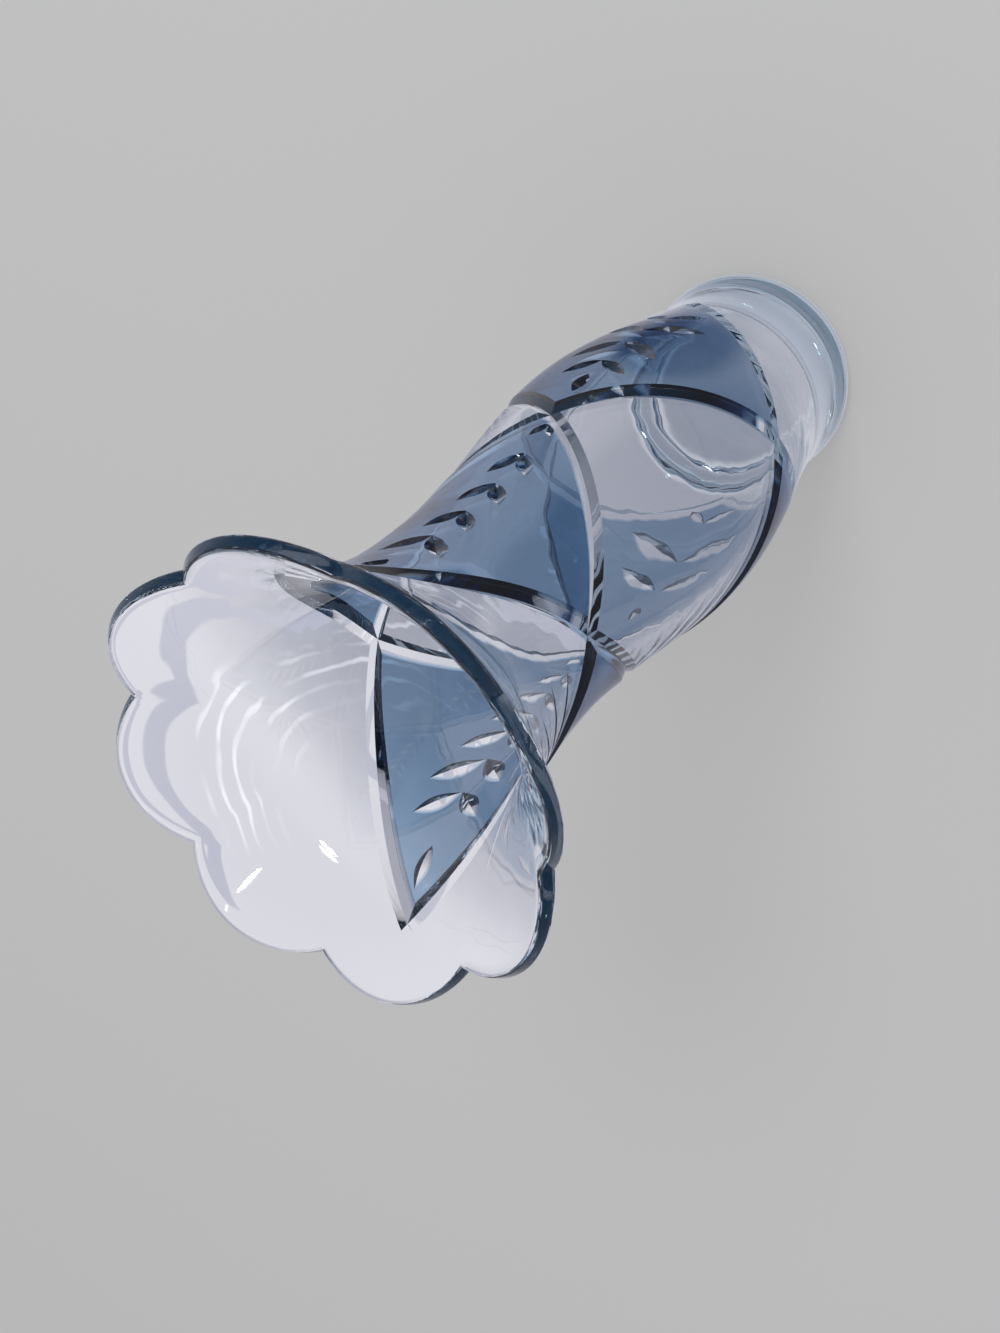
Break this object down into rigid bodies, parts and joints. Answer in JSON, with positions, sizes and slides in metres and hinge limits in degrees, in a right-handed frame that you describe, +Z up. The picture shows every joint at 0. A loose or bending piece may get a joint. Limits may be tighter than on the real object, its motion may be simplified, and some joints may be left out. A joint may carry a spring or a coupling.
{
  "type": "cut crystal flower vase",
  "caption": "Tall waisted flower vase of thick clear crystal with a flared scalloped rim and blue cased diamond panels cut with leaf sprays.",
  "frame": {"origin": "centre of the underside of the foot, on the surface that the vase stands on", "axes": "+Z up along the vase's axis, out of the mouth; +X and -X through the middles of the blue panels; -Y through the clear diamond that the picture shows"},
  "size_m": [0.13, 0.13, 0.3033],
  "materials": {
    "clear_crystal": "fire-bright polished clear crystal, with polished cuts",
    "blue_casing": "polished steel-blue casing glass, cut through to the clear"
  },
  "bodies": {
    "root": {"crystal_body": "clear_crystal", "upper_casing_right": "blue_casing", "upper_casing_left": "blue_casing", "lower_casing_right": "blue_casing", "lower_casing_left": "blue_casing"}
  },
  "joints": []
}
